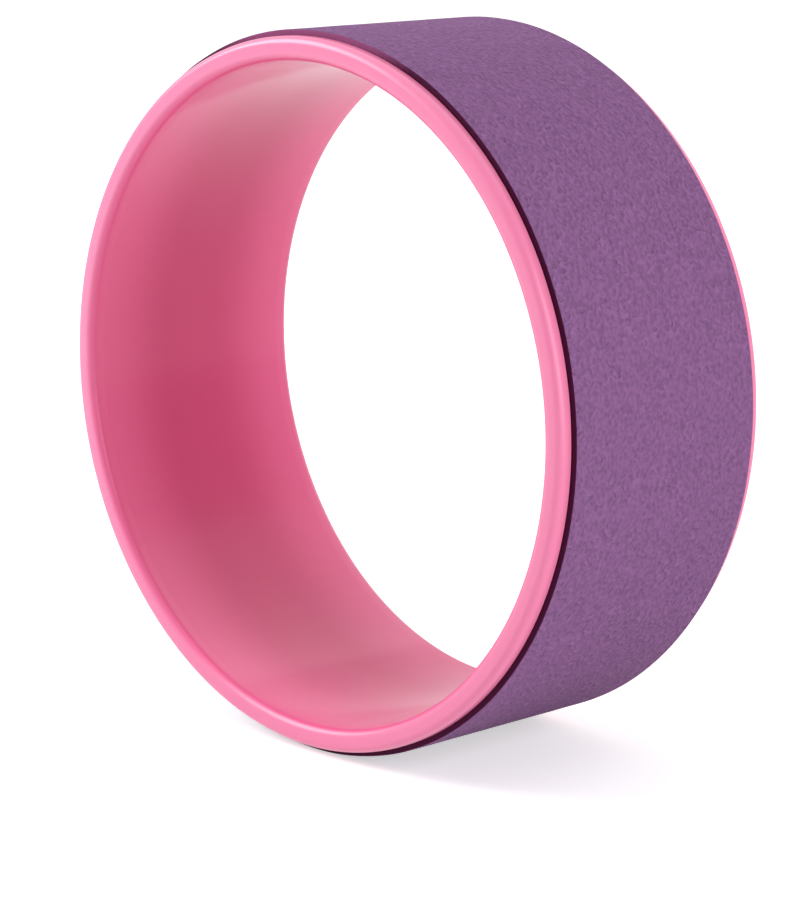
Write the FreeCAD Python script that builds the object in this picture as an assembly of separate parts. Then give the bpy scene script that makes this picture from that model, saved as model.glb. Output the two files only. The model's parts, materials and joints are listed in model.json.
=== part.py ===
import FreeCAD, Part
import math
import os

# Yoga wheel: a plain plastic hoop with a moulded rim cemented on each end, and a strip of soft
# foam wrapped round the hoop between the rims. The wheel stands on the foam.
# The origin is the wheel's centre, the axle line is Y, and the front rim faces -Y.

# Driving dimensions, in millimetres
overall_diameter = 330.0    # across the foam
overall_width = 127.0       # from rim face to rim face

pad_thickness = 6.0         # foam strip
pad_side_gap = 0.3          # between the strip's cut edge and the rim's flange
pad_edge_round = 0.7        # softened outer edges of the strip
pad_butt_gap = 0.4          # hairline where the two ends of the strip meet
pad_butt_angle = 200.0      # degrees about +Y from +X, so the ends meet on the -X side, a little high

film_thickness = 0.2        # double-sided adhesive film under the strip
film_bond_gap = 0.05        # bond line on each side of the film
film_inset = 1.0            # the film stops this far inside the strip's edges

hoop_wall = 7.4             # wall of the hoop
tongue_thickness = 2.2      # ring left standing at each end of the hoop, in the middle of its wall
tongue_length = 4.7
tongue_tip_round = 0.4      # lead-in round the tongue's tip

rim_flange_height = 3.5     # the rim stands this far outside the hoop
rim_flange_depth = 7.0      # from the rim's face to the flange's back
rim_outer_round = 3.6       # rounding from the rim's face to the outside
rim_back_round = 0.4        # rounding from the outside to the flange's back
rim_inner_round = 4.2       # rounding from the rim's face to the bore
rim_nose_wall = 3.0         # plastic between the rim's face and the groove's floor

groove_clearance = 0.05     # on each side of the tongue, in the rim's groove
cement_thickness = 0.3      # bed between the tongue's tip and the groove's floor

# Radii, from the outside in
pad_radius = overall_diameter / 2
pad_inner_radius = pad_radius - pad_thickness
film_radius = pad_inner_radius - film_bond_gap
film_inner_radius = film_radius - film_thickness
hoop_radius = film_inner_radius - film_bond_gap
bore_radius = hoop_radius - hoop_wall
rim_radius = hoop_radius + rim_flange_height
tongue_middle_radius = (hoop_radius + bore_radius) / 2
tongue_outer_radius = tongue_middle_radius + tongue_thickness / 2
tongue_inner_radius = tongue_middle_radius - tongue_thickness / 2
groove_outer_radius = tongue_outer_radius + groove_clearance
groove_inner_radius = tongue_inner_radius - groove_clearance

# Distances from the middle of the width, the same on both sides
rim_face = overall_width / 2
flange_back = rim_face - rim_flange_depth
groove_floor = rim_face - rim_nose_wall
tongue_tip = groove_floor - cement_thickness
hoop_shoulder = tongue_tip - tongue_length
pad_side = flange_back - pad_side_gap
film_side = pad_side - film_inset

origin = FreeCAD.Vector(0, 0, 0)
axle = FreeCAD.Vector(0, 1, 0)


# Outlines lie in the XY plane: X is the distance from the axle line, Y is along it

def rounded_outline(corners):
    """A closed face through corners of (radius, along, round), with a tangent arc at each round."""
    points = [FreeCAD.Vector(radius, along, 0) for radius, along, _ in corners]
    starts = []
    ends = []
    edges = []
    for i, (_, _, rounding) in enumerate(corners):
        corner = points[i]
        back = (points[i - 1] - corner).normalize()
        ahead = (points[(i + 1) % len(points)] - corner).normalize()
        half_angle = back.getAngle(ahead) / 2
        setback = rounding / math.tan(half_angle)
        starts.append(corner + back * setback)
        ends.append(corner + ahead * setback)
        if rounding > 0:
            bisector = (back + ahead).normalize()
            middle = corner + bisector * (rounding / math.sin(half_angle) - rounding)
            edges.append(Part.Arc(starts[i], middle, ends[i]).toShape())
    for i, start in enumerate(starts):
        edges.append(Part.LineSegment(ends[i - 1], start).toShape())
    return Part.Face(Part.Wire(Part.__sortEdges__(edges)))


def turned(corners, start=0.0, sweep=360.0):
    """The solid that an outline sweeps about the axle line, from a start angle in degrees."""
    face = rounded_outline(corners)
    face.rotate(origin, axle, start)
    return face.revolve(origin, axle, sweep)


def hoop():
    """The tube that carries the load, with a tongue at each end."""
    end = [
        (hoop_radius, hoop_shoulder, 0),
        (tongue_outer_radius, hoop_shoulder, 0),
        (tongue_outer_radius, tongue_tip, tongue_tip_round),
        (tongue_inner_radius, tongue_tip, tongue_tip_round),
        (tongue_inner_radius, hoop_shoulder, 0),
        (bore_radius, hoop_shoulder, 0),
    ]
    other_end = [(radius, -along, rounding) for radius, along, rounding in reversed(end)]
    return turned(end + other_end)


def rim(side):
    """One end moulding, flush with the hoop's bore: side is -1 at the front and 1 at the rear."""
    return turned([
        (rim_radius, side * flange_back, rim_back_round),
        (rim_radius, side * rim_face, rim_outer_round),
        (bore_radius, side * rim_face, rim_inner_round),
        (bore_radius, side * hoop_shoulder, 0),
        (groove_inner_radius, side * hoop_shoulder, 0),
        (groove_inner_radius, side * groove_floor, 0),
        (groove_outer_radius, side * groove_floor, 0),
        (groove_outer_radius, side * hoop_shoulder, 0),
        (hoop_radius, side * hoop_shoulder, 0),
        (hoop_radius, side * flange_back, 0),
    ])


def cement_bed(side):
    """Cement between the tongue's tip and the floor of the rim's groove."""
    return turned([
        (tongue_inner_radius, side * tongue_tip, 0),
        (tongue_outer_radius, side * tongue_tip, 0),
        (tongue_outer_radius, side * groove_floor, 0),
        (tongue_inner_radius, side * groove_floor, 0),
    ])


def wrapped_strip(inner_radius, outer_radius, half_length, edge_round):
    """A flat strip bent round the hoop until its two ends nearly meet."""
    gap_angle = math.degrees(pad_butt_gap / outer_radius)
    section = [
        (inner_radius, -half_length, 0),
        (outer_radius, -half_length, edge_round),
        (outer_radius, half_length, edge_round),
        (inner_radius, half_length, 0),
    ]
    return turned(section, pad_butt_angle + gap_angle / 2, 360.0 - gap_angle)


parts = {
    "hoop": hoop(),
    "front_rim": rim(-1),
    "rear_rim": rim(1),
    "front_rim_cement": cement_bed(-1),
    "rear_rim_cement": cement_bed(1),
    "pad_adhesive_film": wrapped_strip(film_inner_radius, film_radius, film_side, 0),
    "foam_pad": wrapped_strip(pad_inner_radius, pad_radius, pad_side, pad_edge_round),
}

os.makedirs("parts", exist_ok=True)
for name, shape in parts.items():
    shape.exportStep(f"parts/{name}.step")
    print(f"{name}: {len(shape.Solids)} solid, {shape.Volume / 1000:.1f} cm3, valid {shape.isValid()}")
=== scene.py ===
import json
import math

import bmesh
import bpy
from mathutils import Matrix, Vector, noise


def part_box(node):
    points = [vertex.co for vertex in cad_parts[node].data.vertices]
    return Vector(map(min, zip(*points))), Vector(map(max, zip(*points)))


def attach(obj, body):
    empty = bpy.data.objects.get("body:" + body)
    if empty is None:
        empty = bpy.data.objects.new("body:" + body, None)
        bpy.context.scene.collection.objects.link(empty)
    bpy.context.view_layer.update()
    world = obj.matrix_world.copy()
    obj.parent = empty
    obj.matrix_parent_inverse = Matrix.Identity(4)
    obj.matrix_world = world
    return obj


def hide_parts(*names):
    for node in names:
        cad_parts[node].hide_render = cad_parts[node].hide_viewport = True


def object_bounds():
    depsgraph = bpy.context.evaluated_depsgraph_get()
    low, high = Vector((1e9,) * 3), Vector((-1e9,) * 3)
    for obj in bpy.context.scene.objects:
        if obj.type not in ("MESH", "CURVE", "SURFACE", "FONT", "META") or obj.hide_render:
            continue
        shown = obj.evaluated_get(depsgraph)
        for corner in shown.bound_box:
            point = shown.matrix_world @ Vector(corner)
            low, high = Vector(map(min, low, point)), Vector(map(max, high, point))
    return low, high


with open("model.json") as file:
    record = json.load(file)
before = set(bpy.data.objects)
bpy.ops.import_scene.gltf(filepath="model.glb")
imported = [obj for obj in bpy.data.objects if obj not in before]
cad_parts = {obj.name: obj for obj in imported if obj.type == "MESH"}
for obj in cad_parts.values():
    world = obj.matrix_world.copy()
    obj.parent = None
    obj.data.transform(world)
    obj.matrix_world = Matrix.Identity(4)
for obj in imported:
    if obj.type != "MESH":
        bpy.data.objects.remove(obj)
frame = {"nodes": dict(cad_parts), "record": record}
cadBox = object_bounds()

nodes = frame["nodes"]
mounts = {mount["name"]: mount for mount in frame["record"]["mounts"]}
boreRadius = mounts["inner_bore"]["dims"]["r_mm"] / 1000
print("frame loaded:", ", ".join(sorted(nodes)))


# node helpers

def addNode(tree, kind, values=None, **settings):
    node = tree.nodes.new(kind)
    for name, value in settings.items():
        setattr(node, name, value)
    for name, value in (values or {}).items():
        node.inputs[name].default_value = value
    return node


def newGroup(name, inputs, outputs):
    tree = bpy.data.node_groups.new(name, "ShaderNodeTree")
    for label, kind, value in inputs:
        socket = tree.interface.new_socket(label, in_out="INPUT", socket_type=kind)
        if value is not None:
            socket.default_value = value
    for label, kind in outputs:
        tree.interface.new_socket(label, in_out="OUTPUT", socket_type=kind)
    return tree, tree.nodes.new("NodeGroupInput"), tree.nodes.new("NodeGroupOutput")


def newMaterial(name):
    material = bpy.data.materials.new(name)
    material.use_nodes = True
    tree = material.node_tree
    shader = tree.nodes["Principled BSDF"]
    place = addNode(tree, "ShaderNodeTexCoord")
    return material, tree, shader, place.outputs["Object"]


def placeGroup(tree, group, place, values):
    node = addNode(tree, "ShaderNodeGroup", node_tree=group)
    tree.links.new(place, node.inputs["Place"])
    for name, value in values.items():
        node.inputs[name].default_value = value
    return node


def addMath(tree, operation, first, second):
    node = addNode(tree, "ShaderNodeMath", operation=operation)
    for socket, value in zip(node.inputs, (first, second)):
        if isinstance(value, (int, float)):
            socket.default_value = value
        else:
            tree.links.new(value, socket)
    return node.outputs["Value"]


def addSpread(tree, value, low, high, start=0.0, end=1.0):
    # maps low to high on to start to end, held at both ends
    span = {"From Min": low, "From Max": high, "To Min": start, "To Max": end}
    node = addNode(tree, "ShaderNodeMapRange", span, interpolation_type="SMOOTHSTEP")
    tree.links.new(value, node.inputs["Value"])
    return node.outputs["Result"]


def addReach(tree, place):
    # distance from the origin
    node = addNode(tree, "ShaderNodeVectorMath", operation="LENGTH")
    tree.links.new(place, node.inputs[0])
    return node.outputs["Value"]


# shared effects

grain = {
    "perMetre": 300.0,
    "crook": 0.6,                    # how far a wrinkle wanders
    "lineWidth": 0.17,               # of a wrinkle, as a step of its noise
    "breaksEach": 1.1,               # breaks and pores for each wrinkle
    "poresEach": 1.7,
    "breakSpan": (0.34, 0.58),       # where a wrinkle begins, and where it is whole
    "patchesPerMetre": 75.0,         # broad patches of weaker and firmer press
    "patchSpan": (0.34, 0.62),
    "wrinkleHeight": (0.12, 0.42),   # in a weak patch and in a firm one
    "poreHeight": 0.85,
}


def makeEmbossGrain():
    # short crooked wrinkles pressed into a soft sheet, with finer pores between them
    tree, given, made = newGroup(
        "embossGrain",
        [("Place", "NodeSocketVector", None),
         ("Grains per Metre", "NodeSocketFloat", grain["perMetre"]),
         ("Crook", "NodeSocketFloat", grain["crook"])],
        [("Height", "NodeSocketFloat")])
    wander = addNode(tree, "ShaderNodeTexNoise", {"Detail": 0.0})
    breaks = addNode(tree, "ShaderNodeTexNoise", {"Detail": 0.0})
    pores = addNode(tree, "ShaderNodeTexNoise", {"Detail": 0.0})
    broad = addNode(tree, "ShaderNodeTexNoise", {"Scale": grain["patchesPerMetre"], "Detail": 2.0})
    for texture in (wander, breaks, pores, broad):
        tree.links.new(given.outputs["Place"], texture.inputs["Vector"])
    perMetre = given.outputs["Grains per Metre"]
    tree.links.new(perMetre, wander.inputs["Scale"])
    tree.links.new(addMath(tree, "MULTIPLY", perMetre, grain["breaksEach"]), breaks.inputs["Scale"])
    tree.links.new(addMath(tree, "MULTIPLY", perMetre, grain["poresEach"]), pores.inputs["Scale"])
    tree.links.new(given.outputs["Crook"], wander.inputs["Distortion"])
    aside = addMath(tree, "SUBTRACT", wander.outputs["Fac"], 0.5)      # wrinkles run where this is zero
    line = addSpread(tree, addMath(tree, "ABSOLUTE", aside, 0.0), 0.0, grain["lineWidth"], 1.0, 0.0)
    stroke = addMath(tree, "MULTIPLY", line, addSpread(tree, breaks.outputs["Fac"], *grain["breakSpan"]))
    firm = addSpread(tree, broad.outputs["Fac"], *grain["patchSpan"], *grain["wrinkleHeight"])
    rough = addMath(tree, "MULTIPLY", pores.outputs["Fac"], grain["poreHeight"])
    both = addMath(tree, "ADD", addMath(tree, "MULTIPLY", stroke, firm), rough)
    tree.links.new(both, made.inputs["Height"])
    return tree


def makeHandledGloss():
    # faint clouding and orange peel of a polished moulding that has been picked up
    tree, given, made = newGroup(
        "handledGloss",
        [("Place", "NodeSocketVector", None), ("Roughness", "NodeSocketFloat", 0.2),
         ("Clouding", "NodeSocketFloat", 0.08), ("Peel per Metre", "NodeSocketFloat", 260.0)],
        [("Roughness", "NodeSocketFloat"), ("Cloud", "NodeSocketFloat"), ("Peel", "NodeSocketFloat")])
    cloud = addNode(tree, "ShaderNodeTexNoise", {"Scale": 9.0, "Detail": 3.0, "Roughness": 0.45})
    peel = addNode(tree, "ShaderNodeTexNoise", {"Detail": 1.0})
    for texture in (cloud, peel):
        tree.links.new(given.outputs["Place"], texture.inputs["Vector"])
    tree.links.new(given.outputs["Peel per Metre"], peel.inputs["Scale"])
    change = addMath(tree, "MULTIPLY", cloud.outputs["Fac"], given.outputs["Clouding"])
    tree.links.new(addMath(tree, "ADD", given.outputs["Roughness"], change), made.inputs["Roughness"])
    tree.links.new(cloud.outputs["Fac"], made.inputs["Cloud"])
    tree.links.new(peel.outputs["Fac"], made.inputs["Peel"])
    return tree


embossGrain = makeEmbossGrain()
handledGloss = makeHandledGloss()


def addBump(tree, shader, height, strength, depth):
    bump = addNode(tree, "ShaderNodeBump", {"Strength": strength, "Distance": depth})
    tree.links.new(height, bump.inputs["Height"])
    tree.links.new(bump.outputs["Normal"], shader.inputs["Normal"])


def addTint(tree, shader, mask, dark, light, low, high):
    ramp = addNode(tree, "ShaderNodeValToRGB")
    ramp.color_ramp.elements[0].position = low
    ramp.color_ramp.elements[0].color = (*dark, 1.0)
    ramp.color_ramp.elements[1].position = high
    ramp.color_ramp.elements[1].color = (*light, 1.0)
    tree.links.new(mask, ramp.inputs["Fac"])
    tree.links.new(ramp.outputs["Color"], shader.inputs["Base Color"])


# mesh helpers

def roundCorners(corners, steps):
    # points round a closed section of (radius, along, round), with an arc at each round
    points = []
    for i, (radius, along, rounding) in enumerate(corners):
        corner = Vector((radius, along))
        if rounding == 0:
            points.append(corner)
            continue
        back = (Vector(corners[i - 1][:2]) - corner).normalized()
        ahead = (Vector(corners[(i + 1) % len(corners)][:2]) - corner).normalized()
        half = back.angle(ahead) / 2
        middle = corner + (back + ahead).normalized() * (rounding / math.sin(half))
        first = corner + back * (rounding / math.tan(half)) - middle
        last = corner + ahead * (rounding / math.tan(half)) - middle
        begin = math.atan2(first.y, first.x)
        turn = (math.atan2(last.y, last.x) - begin + math.pi) % (2 * math.pi) - math.pi
        for j in range(steps + 1):
            angle = begin + turn * j / steps
            points.append(middle + Vector((math.cos(angle), math.sin(angle))) * rounding)
    return points


def onWheel(radius, along, angle):
    # the angle runs about +Y, from +X
    return Vector((radius * math.cos(angle), along, -radius * math.sin(angle)))


def meshPiece(name, made, sharpAngle):
    bmesh.ops.recalc_face_normals(made, faces=made.faces)
    mesh = bpy.data.meshes.new(name)
    made.to_mesh(mesh)
    made.free()
    mesh.set_sharp_from_angle(angle=math.radians(sharpAngle))
    piece = bpy.data.objects.new(name, mesh)
    bpy.context.scene.collection.objects.link(piece)
    return piece


def turnPiece(name, section, roundSteps, sharpAngle):
    made = bmesh.new()
    rings = []
    for c in range(roundSteps):
        angle = 2 * math.pi * c / roundSteps
        rings.append([made.verts.new(onWheel(p.x, p.y, angle)) for p in section])
    for c, near in enumerate(rings):
        far = rings[(c + 1) % roundSteps]
        for i in range(len(section)):
            j = (i + 1) % len(section)
            made.faces.new((near[i], far[i], far[j], near[j])).smooth = True
    return meshPiece(name, made, sharpAngle)


# hoop, with the cement and film that hold the other pieces on it

hoop = {
    "deepTint": (0.655, 0.066, 0.203),
    "paleTint": (0.825, 0.145, 0.322),
    "paintedLightAxes": (0.0, 1.0, 0.0),     # painted light: lighter along the axle line towards both open ends, painted shade deep in the middle of the bore
    "paintedLightSpan": (0.012, 0.058),
    "cloudShare": 0.1,               # of the tint that follows the clouding
    "specular": 0.25,
    "roughness": 0.30,
    "coat": 0.85,                    # thin polish that shows where the bore is seen along its wall
    "coatIor": 1.2,
    "coatRoughness": 0.14,
    "clouding": 0.04,
    "peelPerMetre": 240.0,
    "peelStrength": 0.04,
    "peelDepth": 0.0002,
}
# the cement and the film keep the hoop's painted shade along the axle line
cement = dict(
    hoop,
    deepTint=(0.62, 0.10, 0.20),
    paleTint=(0.70, 0.16, 0.27),
    roughness=0.35,
    clouding=0.2,
)
film = dict(
    hoop,
    deepTint=(0.52, 0.50, 0.44),
    paleTint=(0.62, 0.60, 0.54),
    roughness=0.45,
    clouding=0.2,
)


def makePlastic(name, look):
    material, tree, shader, place = newMaterial(name)
    gloss = placeGroup(tree, handledGloss, place, {
        "Roughness": look["roughness"],
        "Clouding": look["clouding"],
        "Peel per Metre": look["peelPerMetre"],
    })
    # painted shade and light: the tint runs from deep to pale with distance along the given axes, plus a
    # share of the clouding
    along = addNode(tree, "ShaderNodeVectorMath", {1: look["paintedLightAxes"]}, operation="MULTIPLY")
    tree.links.new(place, along.inputs[0])
    paintedLight = addSpread(tree, addReach(tree, along.outputs["Vector"]), *look["paintedLightSpan"])
    paintedLight = addMath(tree, "MULTIPLY", paintedLight, 1 - look["cloudShare"])
    cloud = addMath(tree, "MULTIPLY", gloss.outputs["Cloud"], look["cloudShare"])
    shade = addMath(tree, "ADD", paintedLight, cloud)
    addTint(tree, shader, shade, look["deepTint"], look["paleTint"], 0.0, 1.0)
    tree.links.new(gloss.outputs["Roughness"], shader.inputs["Roughness"])
    shader.inputs["Specular IOR Level"].default_value = look["specular"]
    shader.inputs["Coat Weight"].default_value = look["coat"]
    shader.inputs["Coat IOR"].default_value = look["coatIor"]
    shader.inputs["Coat Roughness"].default_value = look["coatRoughness"]
    addBump(tree, shader, gloss.outputs["Peel"], look["peelStrength"], look["peelDepth"])
    return material


def dressNode(name, material):
    mesh = nodes[name].data
    mesh.materials.clear()
    mesh.materials.append(material)


curedCement = makePlastic("curedCement", cement)
dressNode("hoop", makePlastic("hoopPlastic", hoop))
dressNode("front_rim_cement", curedCement)
dressNode("rear_rim_cement", curedCement)
dressNode("pad_adhesive_film", makePlastic("adhesiveFilm", film))
print("hoop, cement and film dressed")


# rims

rim = dict(
    hoop,
    deepTint=(0.81, 0.122, 0.296),
    paleTint=(0.815, 0.194, 0.370),
    paintedLightAxes=(1.0, 0.0, 1.0),        # painted shade deep at the bore edge, painted light lighter out on the face
    paintedLightSpan=(boreRadius + 0.0006, boreRadius + 0.0036),
    specular=0.55,
    roughness=0.36,
    coat=0.5,
    outerRound=0.0036,               # from the face to the outside
    backRound=0.0004,                # from the outside to the flange's back
    innerRound=0.0042,               # from the face to the bore
    flangeDepth=0.0070,
    noseWall=0.0030,                 # from the face to the groove's floor
    clearance=0.00005,               # round the hoop's tongue in the groove
    tongueHalf=0.0011,
    arcSteps=10,
    roundSteps=540,
    sharpAngle=40,
)


def rimSection(side):
    low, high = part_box("front_rim")
    outer, face, shoulder = high.x, -low.y, -high.y
    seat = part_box("hoop")[1].x               # the hoop's outside, under the strip
    middle = (seat + boreRadius) / 2
    reach = rim["tongueHalf"] + rim["clearance"]
    flangeBack = face - rim["flangeDepth"]
    floor = face - rim["noseWall"]
    corners = [
        (outer, flangeBack, rim["backRound"]),
        (outer, face, rim["outerRound"]),
        (boreRadius, face, rim["innerRound"]),
        (boreRadius, shoulder, 0),
        (middle - reach, shoulder, 0),
        (middle - reach, floor, 0),
        (middle + reach, floor, 0),
        (middle + reach, shoulder, 0),
        (seat, shoulder, 0),
        (seat, flangeBack, 0),
    ]
    corners = [(radius, side * along, rounding) for radius, along, rounding in corners]
    return roundCorners(corners, rim["arcSteps"])


rimPlastic = makePlastic("rimPlastic", rim)
for rimName, rimNode, side in (("frontRim", "front_rim", -1), ("rearRim", "rear_rim", 1)):
    rimPiece = turnPiece(rimName, rimSection(side), rim["roundSteps"], rim["sharpAngle"])
    rimPiece.data.materials.append(rimPlastic)
    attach(rimPiece, "root")
    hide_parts(rimNode)
print("rims turned")


# foam strip

foam = {
    "edgeRound": 0.0007,             # softened outer edges
    "edgeSteps": 6,
    "cutTurn": 40.0,                 # degrees of the rounding that still show the cut foam
    "acrossSteps": 60,
    "roundSteps": 900,
    "sharpAngle": 50,
    "buttGap": 0.0004,               # hairline where the ends meet
    "buttAngle": 200.0,              # on the -X side, a little high
    "buttRound": 0.0006,
    "unevenness": 0.00010,
    "unevenSize": 0.022,
    "deepTint": (0.182, 0.0785, 0.193),
    "paleTint": (0.278, 0.1225, 0.293),
    # painted shade: the cut edge is coloured dark as the shade in the groove by the rim
    "cutShadeTint": (0.055, 0.003, 0.029),
    "cutLitTint": (0.250, 0.066, 0.170),
    "cutLitHeights": (0.146, 0.166),      # heights over the axle line between which the cut edge pales: painted light near the top of the wheel
    "cutGrain": 0.15,                # share of the grain that tints the cut edge
    "tintSpan": (0.15, 0.85),        # of the grain's height: the foam's own tone, and also painted shade in the pits and painted light on the wrinkles
    "roughness": 0.78,
    "specular": 0.1,
    "grainsPerMetre": 300.0,
    "grainStrength": 1.0,
    "grainDepth": 0.0014,            # embossed face
    "cutDepth": 0.0002,              # cut edge
    "sheen": 0.02,
}


def stripSection(inner, outer, halfWidth):
    # (radius, along, cut) round the strip's section: cut marks the spans of a cut edge
    edge = foam["edgeRound"]
    cutTurn = math.radians(foam["cutTurn"])
    level = outer - edge                     # where the roundings' centres lie
    side = halfWidth - edge
    turns = [math.pi / 2 * i / foam["edgeSteps"] for i in range(foam["edgeSteps"] + 1)]
    section = [(inner, -halfWidth, True)]
    for turn in turns:
        section.append((level + edge * math.sin(turn), -side - edge * math.cos(turn), turn < cutTurn))
    for i in range(1, foam["acrossSteps"]):
        section.append((outer, -side + 2 * side * i / foam["acrossSteps"], False))
    for turn in turns:
        cut = turn > math.pi / 2 - cutTurn
        section.append((level + edge * math.cos(turn), side + edge * math.sin(turn), cut))
    section.append((inner, halfWidth, False))
    return section


def wrapStrip(name, section, inner, outer):
    gap = foam["buttGap"] / outer
    start = math.radians(foam["buttAngle"]) + gap / 2
    step = (2 * math.pi - gap) / foam["roundSteps"]
    made = bmesh.new()
    rings = []
    for c in range(foam["roundSteps"] + 1):
        angle = start + step * c
        fromEnd = min(c, foam["roundSteps"] - c) * step * outer
        drop = foam["buttRound"] * max(0.0, 1 - fromEnd / foam["buttRound"]) ** 2
        ring = []
        for radius, along, _ in section:
            spot = onWheel(radius, along, angle)
            share = (radius - inner) / (outer - inner)
            rise = foam["unevenness"] * (noise.noise(spot / foam["unevenSize"]) - 1) - drop
            ring.append(made.verts.new(spot + onWheel(rise * share, 0, angle)))
        rings.append(ring)
    count = len(section)
    for near, far in zip(rings, rings[1:]):
        for i in range(count):
            j = (i + 1) % count
            face = made.faces.new((near[i], far[i], far[j], near[j]))
            face.material_index = 1 if section[i][2] else 0
            face.smooth = True
    made.faces.new(rings[0]).material_index = 1
    made.faces.new(rings[-1]).material_index = 1
    return meshPiece(name, made, foam["sharpAngle"])


def makeFoam(name, deep, pale, depth, litHeights=None):
    material, tree, shader, place = newMaterial(name)
    emboss = placeGroup(tree, embossGrain, place, {"Grains per Metre": foam["grainsPerMetre"]})
    shade = emboss.outputs["Height"]
    if litHeights:
        # painted light: the cut edge lightens towards the top of the wheel
        apart = addNode(tree, "ShaderNodeSeparateXYZ")
        tree.links.new(place, apart.inputs["Vector"])
        shade = addMath(tree, "MULTIPLY", shade, foam["cutGrain"])
        shade = addMath(tree, "ADD", shade, addSpread(tree, apart.outputs["Z"], *litHeights))
    addTint(tree, shader, shade, deep, pale, *foam["tintSpan"])
    shader.inputs["Roughness"].default_value = foam["roughness"]
    shader.inputs["Specular IOR Level"].default_value = foam["specular"]
    shader.inputs["Sheen Weight"].default_value = foam["sheen"]
    addBump(tree, shader, emboss.outputs["Height"], foam["grainStrength"], depth)
    return material


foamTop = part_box("foam_pad")[1]
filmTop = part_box("pad_adhesive_film")[1].x
foamSection = stripSection(filmTop, foamTop.x, foamTop.y)
foamStrip = wrapStrip("foamStrip", foamSection, filmTop, foamTop.x)
foamFace = makeFoam("foamFace", foam["deepTint"], foam["paleTint"], foam["grainDepth"])
foamCut = makeFoam("foamCut", foam["cutShadeTint"], foam["cutLitTint"], foam["cutDepth"], foam["cutLitHeights"])
foamStrip.data.materials.append(foamFace)
foamStrip.data.materials.append(foamCut)
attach(foamStrip, "root")
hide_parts("foam_pad")
print("foam strip wrapped:", len(foamStrip.data.polygons), "faces")


# floor and light

studio = {
    "floorHalf": 14.0,
    "floorWhite": (0.88, 0.88, 0.88),
    "floorGlow": (0.50, 1.0),        # near and far, seen by the camera only: the floor reads as white paper
    "floorFade": (0.45, 1.7),        # metres from the wheel, for those two
    "worldLight": 0.15,
    "lamps": [
        # name, place, width, height, power: all point at the wheel's centre
        ("topSoftbox", (0.0, 0.0, 1.7), 2.4, 2.4, 14.0),
        ("keyLeft", (-1.45, -1.1, 1.05), 1.2, 1.2, 37.0),
        ("front", (-0.3, -2.1, 0.5), 1.4, 1.4, 5.8),
        ("rightRear", (2.0, 0.30, 0.45), 0.6, 1.6, 18.4),
        ("rightFront", (2.0, -0.55, 0.50), 0.7, 1.6, 10.8),
        ("rearTop", (0.0, 2.0, 1.2), 2.4, 2.4, 15.5),
    ],
}


def cameraSide(tree):
    # 1 for rays that show the backdrop: straight from the camera, or off or through a surface
    rays = addNode(tree, "ShaderNodeLightPath")
    first = addMath(tree, "MAXIMUM", rays.outputs["Is Camera Ray"], rays.outputs["Is Glossy Ray"])
    return addMath(tree, "MAXIMUM", first, rays.outputs["Is Transmission Ray"])


def makeFloor():
    half = studio["floorHalf"]
    level = cadBox[0].z
    corners = [(-half, -half, level), (half, -half, level), (half, half, level), (-half, half, level)]
    mesh = bpy.data.meshes.new("floor")
    mesh.from_pydata(corners, [], [(0, 1, 2, 3)])
    floor = bpy.data.objects.new("floor", mesh)
    bpy.context.scene.collection.objects.link(floor)
    material = bpy.data.materials.new("floorPaper")
    material.use_nodes = True
    tree = material.node_tree
    tree.nodes.remove(tree.nodes["Principled BSDF"])
    paper = addNode(tree, "ShaderNodeBsdfDiffuse", {"Color": (*studio["floorWhite"], 1.0)})
    glow = addNode(tree, "ShaderNodeEmission")
    place = addNode(tree, "ShaderNodeTexCoord")
    away = addReach(tree, place.outputs["Object"])
    fade = addSpread(tree, away, *studio["floorFade"], *studio["floorGlow"])
    tree.links.new(addMath(tree, "MULTIPLY", cameraSide(tree), fade), glow.inputs["Strength"])
    both = addNode(tree, "ShaderNodeAddShader")
    tree.links.new(paper.outputs["BSDF"], both.inputs[0])
    tree.links.new(glow.outputs["Emission"], both.inputs[1])
    tree.links.new(both.outputs["Shader"], tree.nodes["Material Output"].inputs["Surface"])
    mesh.materials.append(material)


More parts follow.
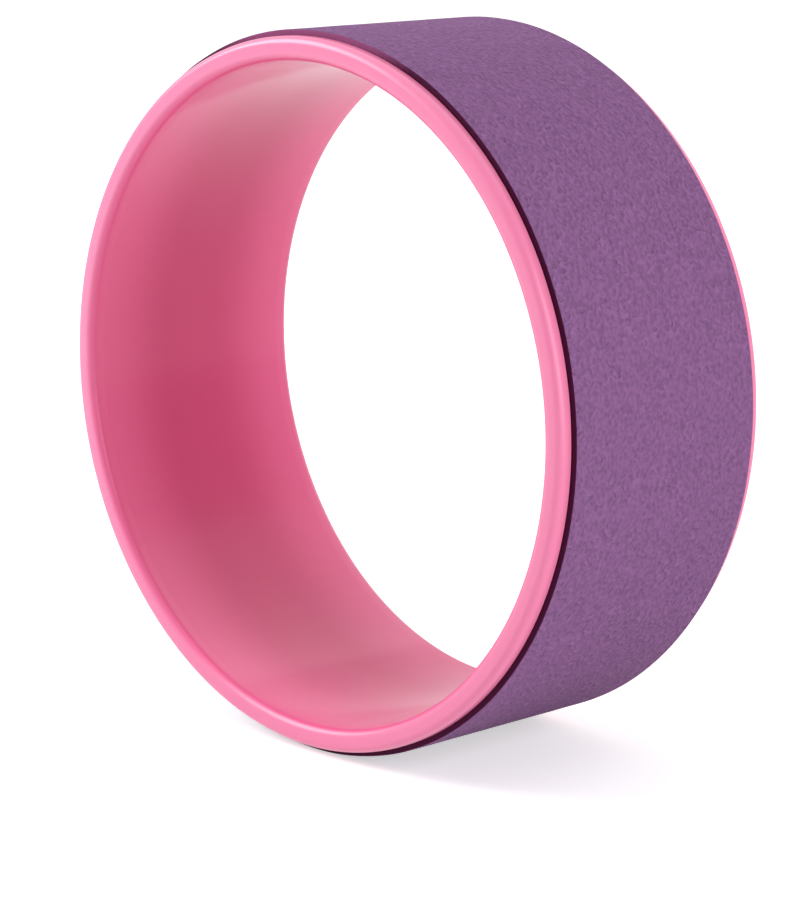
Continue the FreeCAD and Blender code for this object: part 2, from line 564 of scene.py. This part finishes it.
def makeWorld():
    world = bpy.data.worlds.new("studioWorld")
    bpy.context.scene.world = world
    world.use_nodes = True
    tree = world.node_tree
    sky = tree.nodes["Background"]
    sky.inputs["Color"].default_value = (1.0, 1.0, 1.0, 1.0)
    strength = addNode(tree, "ShaderNodeMapRange", {"To Min": studio["worldLight"], "To Max": 1.0})
    tree.links.new(cameraSide(tree), strength.inputs["Value"])
    tree.links.new(strength.outputs["Result"], sky.inputs["Strength"])


def makeLamps():
    for name, spot, width, height, power in studio["lamps"]:
        lamp = bpy.data.lights.new(name, "AREA")
        lamp.shape = "RECTANGLE"
        lamp.size = width
        lamp.size_y = height
        lamp.energy = power
        holder = bpy.data.objects.new(name, lamp)
        holder.location = spot
        holder.rotation_euler = (-Vector(spot)).to_track_quat("-Z", "Y").to_euler()
        bpy.context.scene.collection.objects.link(holder)


makeFloor()
makeWorld()
makeLamps()
print("floor and lights placed")


# camera

cameraSpec = {
    "azimuth": 46.54,                # degrees round the wheel from its front
    "elevation": 11.84,
    "distance": 1.5045,
    "aside": -0.0008,                # steps from the line through the wheel's centre
    "lift": -0.0349,
    "lens": 128.07,
    "farClip": 100.0,
}


def makeCamera():
    turn = math.radians(cameraSpec["azimuth"])
    tilt = math.radians(cameraSpec["elevation"])
    right = Vector((math.cos(turn), math.sin(turn), 0))
    level = Vector((math.sin(turn), -math.cos(turn), 0)) * math.cos(tilt)
    back = level + Vector((0, 0, math.sin(tilt)))
    up = back.cross(right)
    spot = right * cameraSpec["aside"] + up * cameraSpec["lift"] + back * cameraSpec["distance"]
    lens = bpy.data.cameras.new("camera")
    lens.lens = cameraSpec["lens"]
    lens.clip_end = cameraSpec["farClip"]
    camera = bpy.data.objects.new("camera", lens)
    axes = Matrix((right, up, back)).transposed().to_4x4()
    camera.matrix_world = Matrix.Translation(spot) @ axes
    bpy.context.scene.collection.objects.link(camera)
    bpy.context.scene.camera = camera


makeCamera()
bpy.context.scene.view_settings.view_transform = "Standard"
print("camera placed")
